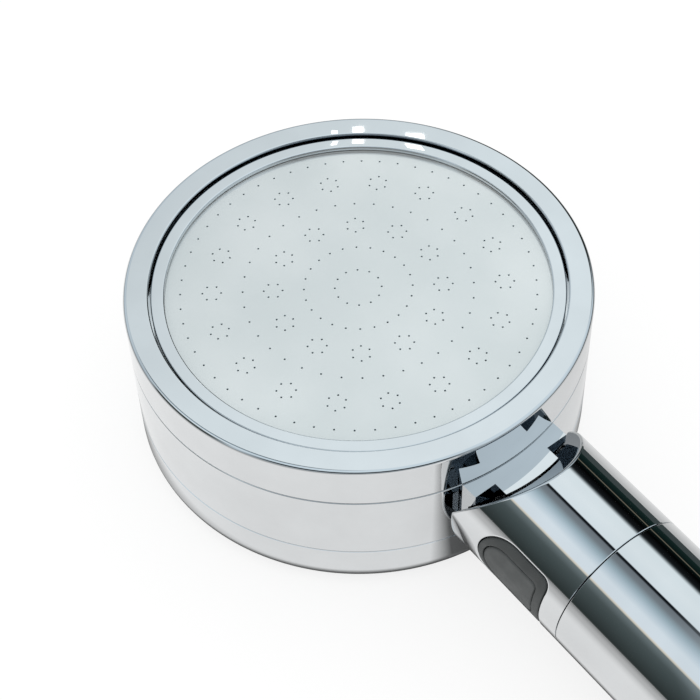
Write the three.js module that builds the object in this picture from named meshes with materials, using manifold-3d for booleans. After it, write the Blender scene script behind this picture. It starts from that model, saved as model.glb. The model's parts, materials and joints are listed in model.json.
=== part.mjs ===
// Handheld shower head: a round head with a perforated plate, a side stop button and a screw-on grip.
// Millimetres, +Z up. The origin is the centre of the head's flat back, which the object rests on.
// +Z runs to the spray face and +X along the handle. The handle falls slightly towards its free end.

import * as THREE from "three";
import { mergeVertices } from "three/addons/utils/BufferGeometryUtils.js";
import Module from "manifold-3d";

const wasm = await Module();
wasm.setup();

// ---------------------------------------------------------------------------------------------
// Driving dimensions
// ---------------------------------------------------------------------------------------------

const GAP = 0.15; // clearance between pieces that rest on each other
const TURNED_GAP = 0.3; // clearance between pieces that meet inside the tilted handle frame

// Head, measured from the drum's axis and from its flat back.
const HEAD_R = 45;
const HEAD_DEPTH = 36.5;
const SEAM_Z = 26.9; // parting line between the drum and the screw-on cap
const BACK_FILLET = 5;
const WALL = 2.7;
const RIM_FILLET = 0.7; // outer edge of the bezel
const BEZEL_INNER_R = 40.15;
const INNER_RING_R = 39.65;
const PLATE_OPENING_R = 37.15;
const RING_TOP_Z = HEAD_DEPTH - 0.85; // the ring that holds the plate is sunk below the bezel
const RING_EDGE = 0.2;
const PLATE_R = 39.8;
const PLATE_TOP_Z = 34.5;
const PLATE_THICKNESS = 0.5;
const COLLAR_OUTER_R = 42.3;
const COLLAR_INNER_R = 39.8;
const COLLAR_TOP_Z = 29.8;
const CAP_BORE_R = 43.2;
const FLANGE_R = 37.4;
const FLANGE_TOP_Z = 33;
const FLANGE_BOTTOM_Z = 31.9;

// Handle, measured along its own axis from the drum's axis.
const HANDLE_TILT = THREE.MathUtils.degToRad(3.1);
const HANDLE_AXIS_Z = 22.74; // height of the handle's axis where it crosses the drum's axis
const HANDLE_R = 14.7;
const HANDLE_BORE_R = 12.3;
const HANDLE_SEAM = 73.3;
const GRIP_END = 183;
const GRIP_END_R = 12.3;
const GRIP_TAPER_START = 108;

// Neck between drum and handle.
const NECK_TOP_Z = SEAM_Z;
const NECK_HALF_WIDTH = 11;
const NECK_POCKET_X = 47.25;
const TONGUE_HALF_WIDTH = 6.3;
const RELIEF_R = 47; // the handle's end clears the drum's wall on this radius
const SLOPE_R = 39; // the sloped end face above the neck is part of this cylinder
const SLOPE_ANGLE = THREE.MathUtils.degToRad(35);
const SLOPE_FOOT_X = 51.2; // where the sloped face meets the neck's top
const END_WALL = 2.3;

// Neck block: where it leaves the drum, how far it runs, and its level faces.
const NECK_ROOT_X = 36;
const NECK_REACH = SLOPE_FOOT_X + 4;
const NECK_SHOULDER_Z = 14;
const NECK_POCKET_Z = 21;

// The two screws that clamp the handle to the neck, placed across the handle's axis.
const SCREW = { y: 9.75, z: -2.5, start: 40.5, shankR: 1.05, headR: 2.1, headHeight: 1.7, holeR: 1.3 };

// Stop button, on the -Y side.
const BUTTON_X = 60.4;
const WINDOW_LENGTH = 16.4;
const WINDOW_HALF_WIDTH = 7.4;
const PAD_LENGTH = 12.7;
const PAD_HALF_WIDTH = 4.8;
const PAD_X = BUTTON_X - 0.3;

// Stop valve.
const VALVE_R = 8.6;
const SPIGOT_R = 5.4;
const SPOOL_BORE_R = 4.3;
const SPOOL_R = 4.2;
const WATERWAY_R = 3;
const SLOT_Y = [-2.7, -0.3]; // the water slot across the spool's bore
const VALVE_END = 71.2;
const NECK_SEAL_X = 44.5;
const FLANGE_SEAL_X = VALVE_END - 1.05;

// Inlet thread, G1/2.
const THREAD_R = 10.48;
const THREAD_DEPTH = 0.95;
const THREAD_PITCH = 1.814;
const THREAD_START = 185.4;
const CONNECTOR_END = 197.3;
const INLET_BORE_R = 6.2;

const FAR = 60; // beyond the neck and the handle's end, for cutting tools

// Round pieces: segments round the head, round the handle and round small pieces.
const HEAD_SEGMENTS = 60;
const HANDLE_SEGMENTS = 36;
const SMALL_SEGMENTS = 20;

// ---------------------------------------------------------------------------------------------
// Materials
// ---------------------------------------------------------------------------------------------

const FINISHES = {
  chrome: { color: 0xd3d9de, roughness: 0.08, metalness: 1 },
  stainless: { color: 0xc6cbcb, roughness: 0.25, metalness: 1 },
  charcoal: { color: 0x3d3f40, roughness: 0.55, metalness: 0 },
  softGrey: { color: 0x4c4e4f, roughness: 0.65, metalness: 0 },
  rubber: { color: 0x1f2021, roughness: 0.8, metalness: 0 },
  whitePlastic: { color: 0xe7e8e6, roughness: 0.45, metalness: 0 },
  filter: { color: 0xf0ede4, roughness: 0.95, metalness: 0 },
  springSteel: { color: 0x9da1a3, roughness: 0.3, metalness: 1 },
};

const root = new THREE.Group();
const handle = new THREE.Group();
handle.position.set(0, 0, HANDLE_AXIS_Z);
handle.rotation.y = HANDLE_TILT;
root.add(handle);

function add(name, geometry, finish, parent = root) {
  const mesh = new THREE.Mesh(geometry, new THREE.MeshStandardMaterial(FINISHES[finish]));
  mesh.name = name;
  parent.add(mesh);
  return mesh;
}

// ---------------------------------------------------------------------------------------------
// Solids
// ---------------------------------------------------------------------------------------------

function solid(geometry) {
  const bare = geometry.clone();
  bare.deleteAttribute("normal");
  bare.deleteAttribute("uv");
  const merged = mergeVertices(bare, 1e-4);
  const triVerts = new Uint32Array(merged.index.array);
  const vertProperties = merged.attributes.position.array;
  return new wasm.Manifold(new wasm.Mesh({ numProp: 3, vertProperties, triVerts }));
}

function geometryOf(manifold) {
  const mesh = manifold.getMesh();
  const geometry = new THREE.BufferGeometry();
  geometry.setAttribute("position", new THREE.BufferAttribute(mesh.vertProperties, mesh.numProp));
  geometry.setIndex(new THREE.BufferAttribute(mesh.triVerts, 1));
  geometry.computeVertexNormals();
  return geometry;
}

function cut(base, ...tools) {
  return tools.reduce((left, tool) => left.subtract(solid(tool)), solid(base));
}

// A solid of revolution about +Z. The profile is a closed loop of [radius, height] points.
function turned(profile, segments) {
  const points = profile.map(([r, z]) => new THREE.Vector2(r, z));
  const closed = profile[0][0] === 0 ? points : [...points, points[0]];
  if (THREE.ShapeUtils.area(points) < 0) closed.reverse();
  return new THREE.LatheGeometry(closed, segments).rotateX(Math.PI / 2);
}

// The same about +X, for pieces on the handle's axis. The profile is [radius, distance along X].
function turnedAlongX(profile, segments = HANDLE_SEGMENTS) {
  return turned(profile, segments).rotateY(Math.PI / 2);
}

// The same about +Y, for pieces on the stop valve's axis.
function turnedAlongY(profile, segments = SMALL_SEGMENTS) {
  return turned(profile, segments).rotateX(-Math.PI / 2);
}

function tubeProfile(inner, outer, start, end) {
  return [[inner, start], [outer, start], [outer, end], [inner, end]];
}

function rodProfile(radius, start, end) {
  return [[0, start], [radius, start], [radius, end], [0, end]];
}

function ringTorus(radius, section, segments = 24) {
  return new THREE.TorusGeometry(radius, section, 6, segments);
}

function box(x0, x1, y0, y1, z0, z1) {
  const geometry = new THREE.BoxGeometry(x1 - x0, y1 - y0, z1 - z0);
  return geometry.translate((x0 + x1) / 2, (y0 + y1) / 2, (z0 + z1) / 2);
}

// Points along a quarter-turn style arc in a profile, from angle a to angle b in degrees.
function arc(centreR, centreZ, radius, a, b, steps = 4) {
  return Array.from({ length: steps + 1 }, (_, i) => {
    const angle = THREE.MathUtils.degToRad(a + ((b - a) * i) / steps);
    return [centreR + radius * Math.cos(angle), centreZ + radius * Math.sin(angle)];
  });
}

// Moves a geometry from the root's frame into the tilted handle's frame.
function intoHandleFrame(geometry) {
  handle.updateMatrix();
  return geometry.applyMatrix4(handle.matrix.clone().invert());
}

// Moves a geometry from the tilted handle's frame into the root's frame.
function intoRoot(geometry) {
  handle.updateMatrix();
  return geometry.applyMatrix4(handle.matrix);
}

// Points that step back and forth between two radii: the ridges of a plain thread in a profile.
function ridges(first, second, start, step, count) {
  return Array.from({ length: count }, (_, i) => [i % 2 ? second : first, start + step * i]);
}

// A helical ridge stands out of a rod: one closed surface whose radius follows the thread's form.
function threadedRod(radius, depth, pitch, start, end, rowsPerPitch = 3) {
  const rows = Math.round(((end - start) / pitch) * rowsPerPitch);
  const form = (phase) => radius - depth * Math.abs(2 * (phase - Math.floor(phase)) - 1);
  const positions = [start, 0, 0, end, 0, 0];
  const index = [];
  const around = SMALL_SEGMENTS;
  for (let row = 0; row <= rows; row += 1) {
    const x = start + ((end - start) * row) / rows;
    for (let k = 0; k < around; k += 1) {
      const angle = (2 * Math.PI * k) / around;
      const fade = Math.min(1, row / rowsPerPitch, (rows - row) / rowsPerPitch);
      const phase = (x - start) / pitch - k / around;
      const r = radius - depth + (form(phase) - radius + depth) * fade;
      positions.push(x, r * Math.cos(angle), r * Math.sin(angle));
    }
  }
  const at = (row, k) => 2 + row * around + (k % around);
  for (let k = 0; k < around; k += 1) {
    index.push(0, at(0, k + 1), at(0, k), 1, at(rows, k), at(rows, k + 1));
    for (let row = 0; row < rows; row += 1) {
      index.push(at(row, k), at(row, k + 1), at(row + 1, k + 1));
      index.push(at(row, k), at(row + 1, k + 1), at(row + 1, k));
    }
  }
  const geometry = new THREE.BufferGeometry();
  geometry.setAttribute("position", new THREE.Float32BufferAttribute(positions, 3));
  geometry.setIndex(index);
  return geometry;
}

// ---------------------------------------------------------------------------------------------
// Screw-on cap with the spray plate
// ---------------------------------------------------------------------------------------------

function addCap() {
  const capBottom = SEAM_Z + GAP;
  const rim = arc(HEAD_R - RIM_FILLET, HEAD_DEPTH - RIM_FILLET, RIM_FILLET, 0, 90, 2);
  const cap = [
    [CAP_BORE_R, capBottom],
    [HEAD_R, capBottom],
    ...rim,
    [BEZEL_INNER_R, HEAD_DEPTH],
    [BEZEL_INNER_R, FLANGE_TOP_Z],
    [FLANGE_R, FLANGE_TOP_Z],
    [FLANGE_R, FLANGE_BOTTOM_Z],
    [CAP_BORE_R, FLANGE_BOTTOM_Z],
  ];
  add("face_ring", turned(cap, HEAD_SEGMENTS), "chrome");

  const plateBottom = PLATE_TOP_Z - PLATE_THICKNESS;
  const plate = rodProfile(PLATE_R, plateBottom, PLATE_TOP_Z);
  add("spray_plate", turned(plate, HEAD_SEGMENTS), "stainless");

  const gasket = tubeProfile(FLANGE_R + GAP, PLATE_R - GAP, FLANGE_TOP_Z + GAP, plateBottom - GAP);
  add("plate_gasket", turned(gasket, HEAD_SEGMENTS), "rubber");

  const retaining = [
    [PLATE_OPENING_R, PLATE_TOP_Z + GAP],
    [INNER_RING_R, PLATE_TOP_Z + GAP],
    [INNER_RING_R, RING_TOP_Z - RING_EDGE],
    [INNER_RING_R - RING_EDGE, RING_TOP_Z],
    [PLATE_OPENING_R + RING_EDGE, RING_TOP_Z],
    [PLATE_OPENING_R, RING_TOP_Z - RING_EDGE],
  ];
  add("plate_retaining_ring", turned(retaining, HEAD_SEGMENTS), "chrome");

  const sealRadius = (COLLAR_INNER_R + COLLAR_OUTER_R) / 2;
  const sealSection = (FLANGE_BOTTOM_Z - COLLAR_TOP_Z) / 2 - GAP;
  const sealHeight = (FLANGE_BOTTOM_Z + COLLAR_TOP_Z) / 2;
  const seal = ringTorus(sealRadius, sealSection, 40).translate(0, 0, sealHeight);
  add("cap_o_ring", seal, "rubber");
}

// ---------------------------------------------------------------------------------------------
// Water distribution inside the drum
// ---------------------------------------------------------------------------------------------

const LEDGE_Z = 27;
const LEDGE = 1.5; // width and thickness of the ledge under the diffuser
const DIFFUSER = { r: COLLAR_INNER_R - TURNED_GAP, bottom: LEDGE_Z + GAP, top: LEDGE_Z + 1.9 };

function ringOfHoles(count, ringR, holeR, bottom, top) {
  return Array.from({ length: count }, (_, k) => {
    const angle = (2 * Math.PI * k) / count;
    const hole = new THREE.CylinderGeometry(holeR, holeR, top - bottom, 6).rotateX(Math.PI / 2);
    const x = ringR * Math.cos(angle);
    const y = ringR * Math.sin(angle);
    return hole.translate(x, y, (top + bottom) / 2);
  });
}

function addDistribution() {
  const disc = turned(rodProfile(DIFFUSER.r, DIFFUSER.bottom, DIFFUSER.top), HEAD_SEGMENTS);
  const holeBottom = DIFFUSER.bottom - 1;
  const holeTop = DIFFUSER.top + 1;
  const holes = [
    ...ringOfHoles(8, 13, 2, holeBottom, holeTop),
    ...ringOfHoles(16, 28, 2, holeBottom, holeTop),
  ];
  add("diffuser_disc", geometryOf(cut(disc, ...holes)), "whitePlastic");

  // The spider: a hub, two hoops and radial ribs that back the thin plate.
  const bottom = DIFFUSER.top + GAP;
  const top = PLATE_TOP_Z - PLATE_THICKNESS - GAP;
  const hub = solid(turned(rodProfile(3.2, bottom, top), SMALL_SEGMENTS));
  const hoops = [20, 36.2].map((r) => solid(turned(tubeProfile(r - 1, r, bottom, top), 32)));
  const ribs = Array.from({ length: 6 }, (_, k) => {
    const rib = box(2, 35.6, -0.7, 0.7, bottom + 0.8, top);
    return solid(rib.rotateZ((Math.PI * k) / 3));
  });
  const spider = [...hoops, ...ribs].reduce((left, piece) => left.add(piece), hub);
  add("plate_support_spider", geometryOf(spider), "whitePlastic");
}

// ---------------------------------------------------------------------------------------------
// Neck: the shapes that the drum and the handle's end share
// ---------------------------------------------------------------------------------------------

// Everything on the drum's side of the handle's end face, moved along X by offset.
function neckSide(offset) {
  const upright = new THREE.CylinderGeometry(RELIEF_R, RELIEF_R, 80, 128).rotateX(Math.PI / 2);
  const sloped = new THREE.CylinderGeometry(SLOPE_R, SLOPE_R, 160, 128).rotateX(Math.PI / 2);
  sloped.rotateY(SLOPE_ANGLE);
  const foot = SLOPE_FOOT_X - SLOPE_R / Math.cos(SLOPE_ANGLE);
  sloped.translate(foot + offset, 0, NECK_TOP_Z);
  return solid(upright.translate(offset, 0, HANDLE_AXIS_Z)).add(solid(sloped));
}

function screwPlaces() {
  return [-1, 1].map((side) => ({ side, y: side * SCREW.y, z: SCREW.z }));
}

// ---------------------------------------------------------------------------------------------
// Drum
// ---------------------------------------------------------------------------------------------

function drumProfile() {
  const backEdge = arc(HEAD_R - BACK_FILLET, BACK_FILLET, BACK_FILLET, -90, 0);
  const innerR = HEAD_R - WALL;
  const innerFillet = 3.6;
  const innerEdge = arc(innerR - innerFillet, WALL + innerFillet, innerFillet, 0, -90, 2);
  const threadRoot = COLLAR_OUTER_R - 0.6;
  return [
    [0, 0],
    ...backEdge,
    [HEAD_R, SEAM_Z - GAP],
    [threadRoot, SEAM_Z - GAP],
    ...ridges(threadRoot, COLLAR_OUTER_R, SEAM_Z + 0.2, 0.6, 5),
    [threadRoot, COLLAR_TOP_Z],
    [COLLAR_INNER_R, COLLAR_TOP_Z],
    [COLLAR_INNER_R, LEDGE_Z],
    [COLLAR_INNER_R - LEDGE, LEDGE_Z],
    [COLLAR_INNER_R - LEDGE, LEDGE_Z - LEDGE],
    [innerR, LEDGE_Z - LEDGE - 3.8],
    ...innerEdge,
    [0, WALL],
  ];
}

function addHeadBody() {
  const drum = solid(turned(drumProfile(), HEAD_SEGMENTS));
  const top = NECK_TOP_Z - GAP;
  const half = NECK_HALF_WIDTH;
  const round = intoRoot(turnedAlongX(rodProfile(half, NECK_ROOT_X, NECK_REACH)));
  const shoulders = box(NECK_ROOT_X, NECK_REACH, -half, half, NECK_SHOULDER_Z, top);
  const above = box(0, FAR, -FAR, FAR, top, FAR);
  const block = solid(round).subtract(solid(above)).add(solid(shoulders));
  const pockets = [-1, 1].map((side) => {
    const [low, high] = [side * TONGUE_HALF_WIDTH, side * FAR].sort((a, b) => a - b);
    return solid(box(NECK_POCKET_X, FAR, low, high, NECK_POCKET_Z, FAR));
  });
  const neck = pockets.reduce((left, pocket) => left.subtract(pocket), block);
  const trimmed = neck.intersect(neckSide(-TURNED_GAP));
  const bore = solid(intoRoot(turnedAlongX(rodProfile(SPIGOT_R + 0.05, 30, FAR), 32)));
  const screwHoles = screwPlaces().map(({ y, z }) => {
    const hole = turnedAlongX(rodProfile(SCREW.holeR, 39, FAR), 12).translate(0, y, z);
    return solid(intoRoot(hole));
  });
  const joined = drum.add(trimmed).subtract(bore);
  const body = screwHoles.reduce((left, hole) => left.subtract(hole), joined);
  add("head_body", geometryOf(body), "chrome");
}

// ---------------------------------------------------------------------------------------------
// Upper handle with the button
// ---------------------------------------------------------------------------------------------

// A D-shaped outline seen from -Y: round towards the head, square with eased corners behind.
function buttonOutline(centreX, length, halfWidth) {
  const front = centreX - length / 2;
  const back = centreX + length / 2;
  const nose = halfWidth * 1.05;
  const corner = halfWidth * 0.28;
  const shape = new THREE.Shape();
  const near = front + nose * 0.42;
  const mid = halfWidth * 0.62;
  shape.moveTo(front, 0);
  shape.bezierCurveTo(front, mid, near, halfWidth, front + nose, halfWidth);
  shape.lineTo(back - corner, halfWidth);
  shape.quadraticCurveTo(back, halfWidth, back, halfWidth - corner);
  shape.lineTo(back, corner - halfWidth);
  shape.quadraticCurveTo(back, -halfWidth, back - corner, -halfWidth);
  shape.lineTo(front + nose, -halfWidth);
  shape.bezierCurveTo(near, -halfWidth, front, -mid, front, 0);
  return shape;
}

// A prism with the button's outline that runs across Y from one distance to another.
function buttonPrism(centreX, length, halfWidth, y0, y1) {
  const outline = buttonOutline(centreX, length, halfWidth);
  const how = { depth: y1 - y0, bevelEnabled: false, curveSegments: 6 };
  const prism = new THREE.ExtrudeGeometry(outline, how);
  return prism.rotateX(Math.PI / 2).translate(0, y1, 0);
}

function addUpperHandle() {
  const outside = solid(turnedAlongX(rodProfile(HANDLE_R, 36, HANDLE_SEAM - GAP)));
  const inside = solid(turnedAlongX(rodProfile(HANDLE_BORE_R, 30, HANDLE_SEAM + 5)));
  const endFace = solid(intoHandleFrame(geometryOf(neckSide(0))));
  const innerFace = solid(intoHandleFrame(geometryOf(neckSide(END_WALL))));
  const cavity = inside.subtract(innerFace);
  const spigotHole = turnedAlongX(rodProfile(SPIGOT_R + TURNED_GAP, 30, FAR), 32);
  const screwHole = rodProfile(SCREW.holeR + 0.1, 30, FAR);
  const openings = [
    spigotHole,
    buttonPrism(BUTTON_X, WINDOW_LENGTH, WINDOW_HALF_WIDTH, -20, -6),
    ...screwPlaces().map(({ y, z }) => turnedAlongX(screwHole, 12).translate(0, y, z)),
  ];
  const shell = openings.reduce(
    (left, tool) => left.subtract(solid(tool)),
    outside.subtract(endFace).subtract(cavity),
  );
  add("upper_handle", geometryOf(shell), "chrome", handle);
}

function addNeckScrews() {
  const { start, shankR, headR, headHeight } = SCREW;
  for (const { side, y, z } of screwPlaces()) {
    const inner = Math.abs(y) - headR - 0.1;
    const seat = Math.sqrt((RELIEF_R + END_WALL) ** 2 - inner ** 2) + TURNED_GAP;
    const profile = [
      [0, start],
      [shankR, start + 0.7],
      [shankR, seat],
      [headR, seat],
      [headR, seat + headHeight - 0.5],
      [headR - 0.8, seat + headHeight],
      [0, seat + headHeight],
    ];
    const name = side < 0 ? "neck_screw_left" : "neck_screw_right";
    add(name, turnedAlongX(profile, 16).translate(0, y, z), "springSteel", handle);
  }
}

function addButton() {
  const skin = turnedAlongX(tubeProfile(HANDLE_BORE_R - 0.4, HANDLE_R - 0.05, 45, 75), 96);
  const outerLength = WINDOW_LENGTH - 2 * GAP;
  const openingLength = PAD_LENGTH + 2 * GAP;
  const surround = solid(buttonPrism(BUTTON_X, outerLength, WINDOW_HALF_WIDTH - GAP, -16, -9));
  const opening = solid(buttonPrism(PAD_X, openingLength, PAD_HALF_WIDTH + GAP, -20, -5));
  const bezel = surround.intersect(solid(skin)).subtract(opening);
  add("button_frame", geometryOf(bezel), "charcoal", handle);

  const padSkin = turnedAlongX(rodProfile(HANDLE_R - GAP, 45, 75), 96);
  const pad = solid(buttonPrism(PAD_X, PAD_LENGTH, PAD_HALF_WIDTH, -16, -12));
  add("stop_button", geometryOf(pad.intersect(solid(padSkin))), "softGrey", handle);
}

// ---------------------------------------------------------------------------------------------
// Stop valve: pieces on the valve's own cross axis are turned about Y and moved to the button
// ---------------------------------------------------------------------------------------------

const SPOOL = { head: -11.8, left: -6.9, waist: -2.8, right: -0.2, end: 1.8 };
const SPRING = { start: 3.75, end: 8.1, r: 3.1, wire: 0.25, turns: 4 };
const SPOOL_SEALS = { spool_seal_outer: -5.6, spool_seal_inner: 0.8 };
const SEAL_SECTION = 0.6;

function onValveAxis(geometry) {
  return geometry.translate(BUTTON_X, 0, 0);
}

// An O-ring's groove in a rod's profile: depth below the rod's radius, centre and width.
function grooveProfile(radius, depth, centre, width) {
  return [
    [radius, centre - width / 2],
    [radius - depth, centre - width / 2],
    [radius - depth, centre + width / 2],
    [radius, centre + width / 2],
  ];
}

function addValveBody() {
  const spigotR = SPIGOT_R - 0.2;
  const flangeR = HANDLE_BORE_R - GAP;
  const barrel = [
    [0, 41],
    [spigotR, 41],
    ...grooveProfile(spigotR, 1.3, NECK_SEAL_X, 2.2),
    [spigotR, 53.4],
    [VALVE_R, 55.8],
    [VALVE_R, VALVE_END - 2.1],
    [flangeR, VALVE_END - 2.1],
    ...grooveProfile(flangeR, 1.25, FLANGE_SEAL_X, 1.3),
    [flangeR, VALVE_END],
    [0, VALVE_END],
  ];
  const boss = onValveAxis(turnedAlongY(rodProfile(5.3, -8, 9.4)));
  const crossBore = onValveAxis(turnedAlongY(rodProfile(SPOOL_BORE_R, -9, 12)));
  const slot = box(54, 67, SLOT_Y[0], SLOT_Y[1], -3, 3);
  const front = turnedAlongX(rodProfile(WATERWAY_R, 36, 55), SMALL_SEGMENTS);
  const rear = turnedAlongX(rodProfile(WATERWAY_R, 66, 75), SMALL_SEGMENTS);
  const body = [crossBore, slot, front, rear].reduce(
    (left, tool) => left.subtract(solid(tool)),
    solid(turnedAlongX(barrel, 32)).add(solid(boss)),
  );
  add("valve_body", geometryOf(body), "whitePlastic", handle);
}

function addSpool() {
  const groove = (centre) => grooveProfile(SPOOL_R, 1.25, centre, 2 * SEAL_SECTION + 0.2);
  const profile = [
    [0, SPOOL.head],
    [3, SPOOL.head],
    [3, SPOOL.left],
    [SPOOL_R, SPOOL.left],
    ...groove(SPOOL_SEALS.spool_seal_outer),
    [SPOOL_R, SPOOL.waist],
    [2.1, SPOOL.waist + 0.3],
    [2.1, SPOOL.right - 0.3],
    [SPOOL_R, SPOOL.right],
    ...groove(SPOOL_SEALS.spool_seal_inner),
    [SPOOL_R, SPOOL.end],
    [0, SPOOL.end],
  ];
  add("valve_spool", onValveAxis(turnedAlongY(profile)), "whitePlastic", handle);
  for (const [name, y] of Object.entries(SPOOL_SEALS)) {
    const seal = ringTorus(SPOOL_BORE_R - 0.05 - SEAL_SECTION, SEAL_SECTION, SMALL_SEGMENTS);
    add(name, onValveAxis(seal.rotateX(Math.PI / 2).translate(0, y, 0)), "rubber", handle);
  }
}

// A toothed ring behind the spool: six saw teeth cut into one face.
function addLatchCam() {
  const start = SPOOL.end + GAP;
  const ring = turnedAlongY(tubeProfile(2.2, SPOOL_R - 0.1, start, start + 1.6));
  const notches = Array.from({ length: 6 }, (_, k) => {
    const notch = box(2, 5, -0.8, 0.1, -0.5, 0.5).rotateZ(-0.5);
    return notch.translate(0, start, 0).rotateY((Math.PI * k) / 3);
  });
  add("latch_cam", onValveAxis(geometryOf(cut(ring, ...notches))), "whitePlastic", handle);
}

function addSpring() {
  const { start, end, r, wire, turns } = SPRING;
  const points = Array.from({ length: turns * 12 + 1 }, (_, i) => {
    const angle = (2 * Math.PI * i) / 12;
    const y = start + wire + ((end - start - 2 * wire) * i) / (turns * 12);
    return new THREE.Vector3(r * Math.cos(angle), y, r * Math.sin(angle));
  });
  const path = new THREE.CatmullRomCurve3(points);
  const section = new THREE.Shape().absarc(0, 0, wire, 0, 2 * Math.PI);
  const how = { steps: turns * 12, extrudePath: path, curveSegments: 3 };
  const coil = new THREE.ExtrudeGeometry(section, how);
  add("return_spring", onValveAxis(coil), "springSteel", handle);

  const plug = rodProfile(SPOOL_BORE_R - 0.1, end + GAP, 9.5);
  add("spring_cap", onValveAxis(turnedAlongY(plug)), "whitePlastic", handle);
}

// An O-ring round the handle's axis.
function addHandleSeal(name, radius, section, x) {
  const ring = ringTorus(radius, section).rotateY(Math.PI / 2).translate(x, 0, 0);
  add(name, ring, "rubber", handle);
}

function addValveSeals() {
  addHandleSeal("neck_o_ring", SPIGOT_R - 0.75, 0.65, NECK_SEAL_X);
  addHandleSeal("valve_flange_o_ring", HANDLE_BORE_R - 0.7, 0.55, FLANGE_SEAL_X);
}

// ---------------------------------------------------------------------------------------------
// Coupler between upper handle and grip
// ---------------------------------------------------------------------------------------------

const COUPLER_R = 12.7;
const COUPLER_BORE_R = 7;
const COUPLER_END = 81;
const GRIP_SEAL_X = 74.8;

function addCoupler() {
  const shoulder = HANDLE_SEAM + GAP;
  const start = VALVE_END + GAP;
  const profile = [
    [COUPLER_BORE_R, start],
    [HANDLE_BORE_R - 0.1, start],
    [HANDLE_BORE_R - 0.1, shoulder],
    [COUPLER_R, shoulder],
    ...grooveProfile(COUPLER_R, 1.4, GRIP_SEAL_X, 1.4),
    ...ridges(COUPLER_R - 0.5, COUPLER_R, GRIP_SEAL_X + 1.4, 0.7, 4),
    [COUPLER_R - 0.6, COUPLER_END],
    [COUPLER_BORE_R, COUPLER_END],
  ];
  add("handle_coupler", turnedAlongX(profile), "whitePlastic", handle);
  addHandleSeal("grip_o_ring", COUPLER_R - 0.55, 0.6, GRIP_SEAL_X);
}

// ---------------------------------------------------------------------------------------------
// Grip with the filter and the inlet
// ---------------------------------------------------------------------------------------------

const GRIP_SOCKET_R = 12.95;
const GRIP_SOCKET_END = 87;
const GRIP_BORE_R = 12.4;
const GRIP_TAIL_BORE_R = 9.8;
const GRIP_TAIL = 168;

function gripRadius(x) {
  const t = THREE.MathUtils.clamp((x - GRIP_TAPER_START) / (GRIP_END - GRIP_TAPER_START), 0, 1);
  return HANDLE_R + (GRIP_END_R - HANDLE_R) * t * t * (3 - 2 * t);
}

function addGrip() {
  const stations = Array.from({ length: 7 }, (_, i) => {
    const x = GRIP_TAPER_START + ((GRIP_END - 0.6 - GRIP_TAPER_START) * i) / 6;
    return [gripRadius(x), x];
  });
  const profile = [
    [GRIP_SOCKET_R, HANDLE_SEAM + GAP],
    [HANDLE_R, HANDLE_SEAM + GAP],
    ...stations,
    [GRIP_END_R - 0.6, GRIP_END],
    [GRIP_TAIL_BORE_R, GRIP_END],
    [GRIP_TAIL_BORE_R, GRIP_TAIL],
    [GRIP_BORE_R - 1.6, GRIP_TAIL - 1.5],
    [GRIP_BORE_R - 0.3, 150],
    [GRIP_BORE_R, 110],
    [GRIP_BORE_R, GRIP_SOCKET_END],
    [GRIP_SOCKET_R, GRIP_SOCKET_END - 0.6],
  ];
  add("grip", turnedAlongX(profile), "chrome", handle);
}

const NOZZLE_SEAL_X = 78.2;
const FILTER = { start: 84, end: 158, r: 10.2, coreR: 4.2 };

function addFilter() {
  const { start, end, r, coreR } = FILTER;
  const cage = turnedAlongX(tubeProfile(coreR - 1.2, coreR, start + 0.6, end - 0.6), 12);
  const windows = Array.from({ length: 4 }, (_, k) => {
    const x = start + 8 + 17 * k;
    return [box(x, x + 9, -5, 5, -1.3, 1.3), box(x, x + 9, -1.3, 1.3, -5, 5)];
  }).flat();
  add("filter_core", geometryOf(cut(cage, ...windows)), "whitePlastic", handle);

  const sleeve = tubeProfile(coreR + TURNED_GAP, r, start, end);
  add("filter_sleeve", turnedAlongX(sleeve, 32), "filter", handle);

  // The top cap's nozzle plugs into the coupler; the O-ring sits in its groove.
  const nozzleR = COUPLER_BORE_R - 0.25;
  const top = [
    [coreR - 1.4, 76],
    [nozzleR, 76],
    ...grooveProfile(nozzleR, 1.15, NOZZLE_SEAL_X, 1.6),
    [nozzleR, 81.6],
    [r + 0.4, 81.6],
    [r + 0.4, start - GAP],
    [coreR - 1.4, start - GAP],
  ];
  add("filter_top_cap", turnedAlongX(top, SMALL_SEGMENTS), "whitePlastic", handle);
  addHandleSeal("filter_o_ring", COUPLER_BORE_R - 0.75, 0.6, NOZZLE_SEAL_X);

  const bottom = rodProfile(r, end + GAP, end + 2.4);
  const ribs = [0, 1, 2].map((k) => box(end + 1, end + 7, -0.8, 0.8, -8, 8).rotateX((Math.PI * k) / 3));
  const plug = ribs.reduce((left, rib) => left.add(solid(rib)), solid(turnedAlongX(bottom, 32)));
  add("filter_bottom_cap", geometryOf(plug), "whitePlastic", handle);
}

const INLET = { start: 170, seal: 179.4, restrictor: 174, strainer: 181 };

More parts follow.
